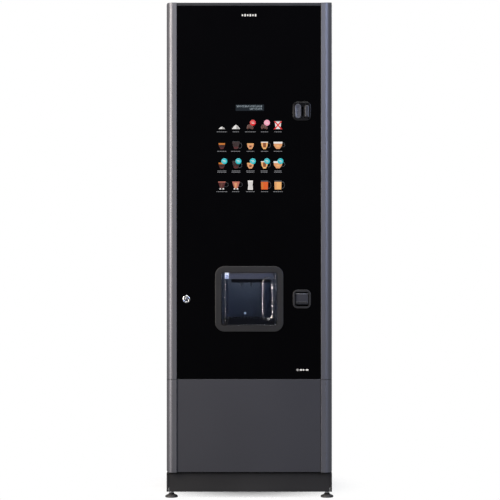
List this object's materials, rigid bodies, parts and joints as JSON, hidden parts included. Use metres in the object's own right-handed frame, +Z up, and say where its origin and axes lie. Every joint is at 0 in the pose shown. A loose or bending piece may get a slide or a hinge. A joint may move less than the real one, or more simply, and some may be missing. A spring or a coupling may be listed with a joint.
{
  "type": "hot drinks vending machine",
  "caption": "Floor-standing hot coffee vending machine: hinged glass-front door with cup station, coin entry and coin return, over a cabinet with brewing and mixing units.",
  "frame": {"origin": "on the floor, under the middle of the machine", "axes": "+Z up, the door faces -Y, +X is to the customer's right"},
  "size_m": [0.623, 0.735, 1.83],
  "materials": {
    "base_paint": "satin powder coat",
    "cabinet_paint": "fine textured powder coat",
    "post_metal": "satin anodised, anthracite",
    "panel_metal": "metallic anthracite coat",
    "galvanised_sheet": "galvanised",
    "zinc_steel": "zinc plated",
    "stainless_steel": "brushed stainless",
    "black_glass": "back-printed black, polished",
    "clear_plastic": "clear moulded",
    "bezel_plastic": "satin moulded",
    "chamber_plastic": "satin moulded",
    "header_plastic": "satin moulded",
    "grille_plastic": "satin moulded",
    "lever_plastic": "satin moulded",
    "flap_plastic": "satin moulded",
    "black_plastic": "fine grain",
    "grey_plastic": "satin moulded",
    "white_plastic": "satin moulded",
    "bin_plastic": "satin moulded",
    "canister_plastic": "translucent white",
    "lid_plastic": "satin moulded",
    "hopper_plastic": "smoked clear",
    "tube_plastic": "clear moulded",
    "seal_rubber": "matt",
    "foot_rubber": "matt moulded",
    "lock_chrome": "polished",
    "lock_brass": "satin",
    "display_plastic": "smoked display window",
    "board_plastic": "light diffuser"
  },
  "bodies": {
    "cabinet": {"base_frame": "base_paint", "plinth_panel": "base_paint", "side_panel_left": "cabinet_paint", "side_panel_right": "cabinet_paint", "top_panel": "cabinet_paint", "back_panel": "cabinet_paint", "panel_screws": "zinc_steel", "power_inlet": "black_plastic", "hinge_brackets": "zinc_steel", "lock_keepers": "zinc_steel", "component_shelf": "galvanised_sheet", "cup_dispenser": "grey_plastic", "canister_1": "canister_plastic", "canister_2": "canister_plastic", "canister_3": "canister_plastic", "bean_hopper": "hopper_plastic", "coffee_grinder": "black_plastic", "brew_group": "grey_plastic", "mixing_bowls": "white_plastic", "boiler": "stainless_steel", "control_box": "galvanised_sheet", "waste_bin": "bin_plastic"},
    "door": {"post_left_upper": "post_metal", "post_left_lower": "post_metal", "post_right_upper": "post_metal", "post_right_lower": "post_metal", "top_rail": "post_metal", "door_pan": "galvanised_sheet", "front_glass": "black_glass", "lower_panel": "panel_metal", "door_gasket": "seal_rubber", "cup_bezel": "bezel_plastic", "cup_chamber": "chamber_plastic", "spout_cover": "header_plastic", "drip_tray": "chamber_plastic", "drip_grille": "grille_plastic", "coin_bezel": "bezel_plastic", "coin_mechanism": "black_plastic", "coin_return_cup": "bezel_plastic", "lock_housing": "lock_chrome", "display_module": "display_plastic", "selection_board": "board_plastic"},
    "cup_door": {"cup_door": "clear_plastic"},
    "reject_lever": {"reject_lever": "lever_plastic"},
    "return_flap": {"return_flap": "flap_plastic"},
    "lock_cylinder": {"lock_cylinder": "lock_brass"},
    "lock_bar": {"lock_bar": "zinc_steel"},
    "foot_1": {"foot_1": "foot_rubber"},
    "foot_2": {"foot_2": "foot_rubber"},
    "foot_3": {"foot_3": "foot_rubber"},
    "foot_4": {"foot_4": "foot_rubber"},
    "canister_lid_1": {"canister_lid_1": "lid_plastic"},
    "canister_lid_2": {"canister_lid_2": "lid_plastic"},
    "canister_lid_3": {"canister_lid_3": "lid_plastic"},
    "auger_1": {"auger_1": "white_plastic"},
    "auger_2": {"auger_2": "white_plastic"},
    "auger_3": {"auger_3": "white_plastic"},
    "hopper_lid": {"hopper_lid": "lid_plastic"},
    "cup_turret": {"cup_turret": "tube_plastic"},
    "brew_piston": {"brew_piston": "stainless_steel"}
  },
  "joints": [
    {"name": "door_hinge", "type": "hinge", "parent": "cabinet", "child": "door", "pos_m": [0.292, -0.312, 0.9], "axis": [0, 0, 1], "range_deg": [0, 100]},
    {"name": "cup_door_hinge", "type": "hinge", "parent": "door", "child": "cup_door", "pos_m": [-0.0975, -0.3585, 0.735], "axis": [0, 0, -1], "range_deg": [0, 85]},
    {"name": "reject_press", "type": "slide", "parent": "door", "child": "reject_lever", "axis": [0, 1, 0], "range_m": [0, 0.004], "stiffness_N_per_m": 300, "springref_m": -0.002},
    {"name": "return_flap_hinge", "type": "hinge", "parent": "door", "child": "return_flap", "pos_m": [0.1935, -0.359, 0.7535], "axis": [1, 0, 0], "range_deg": [0, 60]},
    {"name": "lock_turn", "type": "hinge", "parent": "door", "child": "lock_cylinder", "pos_m": [-0.2315, -0.3625, 0.734], "axis": [0, 1, 0], "range_deg": [0, 90]},
    {"name": "lock_bar_slide", "type": "slide", "parent": "door", "child": "lock_bar", "axis": [0, 0, -1], "range_m": [0, 0.02]},
    {"name": "foot_1_turn", "type": "hinge", "parent": "cabinet", "child": "foot_1", "pos_m": [-0.288, -0.317, 0.01], "axis": [0, 0, 1], "continuous": true},
    {"name": "foot_2_turn", "type": "hinge", "parent": "cabinet", "child": "foot_2", "pos_m": [0.288, -0.317, 0.01], "axis": [0, 0, 1], "continuous": true},
    {"name": "foot_3_turn", "type": "hinge", "parent": "cabinet", "child": "foot_3", "pos_m": [-0.288, 0.3355, 0.01], "axis": [0, 0, 1], "continuous": true},
    {"name": "foot_4_turn", "type": "hinge", "parent": "cabinet", "child": "foot_4", "pos_m": [0.288, 0.3355, 0.01], "axis": [0, 0, 1], "continuous": true},
    {"name": "canister_lid_1_hinge", "type": "hinge", "parent": "cabinet", "child": "canister_lid_1", "pos_m": [-0.0155, 0.096, 1.46], "axis": [-1, 0, 0], "range_deg": [0, 75]},
    {"name": "auger_1_spin", "type": "hinge", "parent": "cabinet", "child": "auger_1", "pos_m": [-0.0155, 0, 1.222], "axis": [0, 1, 0], "continuous": true},
    {"name": "canister_lid_2_hinge", "type": "hinge", "parent": "cabinet", "child": "canister_lid_2", "pos_m": [0.0755, 0.096, 1.46], "axis": [-1, 0, 0], "range_deg": [0, 75]},
    {"name": "auger_2_spin", "type": "hinge", "parent": "cabinet", "child": "auger_2", "pos_m": [0.0755, 0, 1.222], "axis": [0, 1, 0], "continuous": true},
    {"name": "canister_lid_3_hinge", "type": "hinge", "parent": "cabinet", "child": "canister_lid_3", "pos_m": [0.1665, 0.096, 1.46], "axis": [-1, 0, 0], "range_deg": [0, 75]},
    {"name": "auger_3_spin", "type": "hinge", "parent": "cabinet", "child": "auger_3", "pos_m": [0.1665, 0, 1.222], "axis": [0, 1, 0], "continuous": true},
    {"name": "hopper_lid_hinge", "type": "hinge", "parent": "cabinet", "child": "hopper_lid", "pos_m": [0.2575, 0.096, 1.56], "axis": [-1, 0, 0], "range_deg": [0, 75]},
    {"name": "cup_turret_spin", "type": "hinge", "parent": "cabinet", "child": "cup_turret", "pos_m": [-0.185, -0.02, 1.4], "axis": [0, 0, 1], "continuous": true},
    {"name": "brew_piston_slide", "type": "slide", "parent": "cabinet", "child": "brew_piston", "axis": [0, 0, -1], "range_m": [0, 0.03]}
  ],
  "couplings": [
    {"joint": "lock_turn", "follows": "lock_bar_slide", "rad_per_m": 78.539}
  ]
}
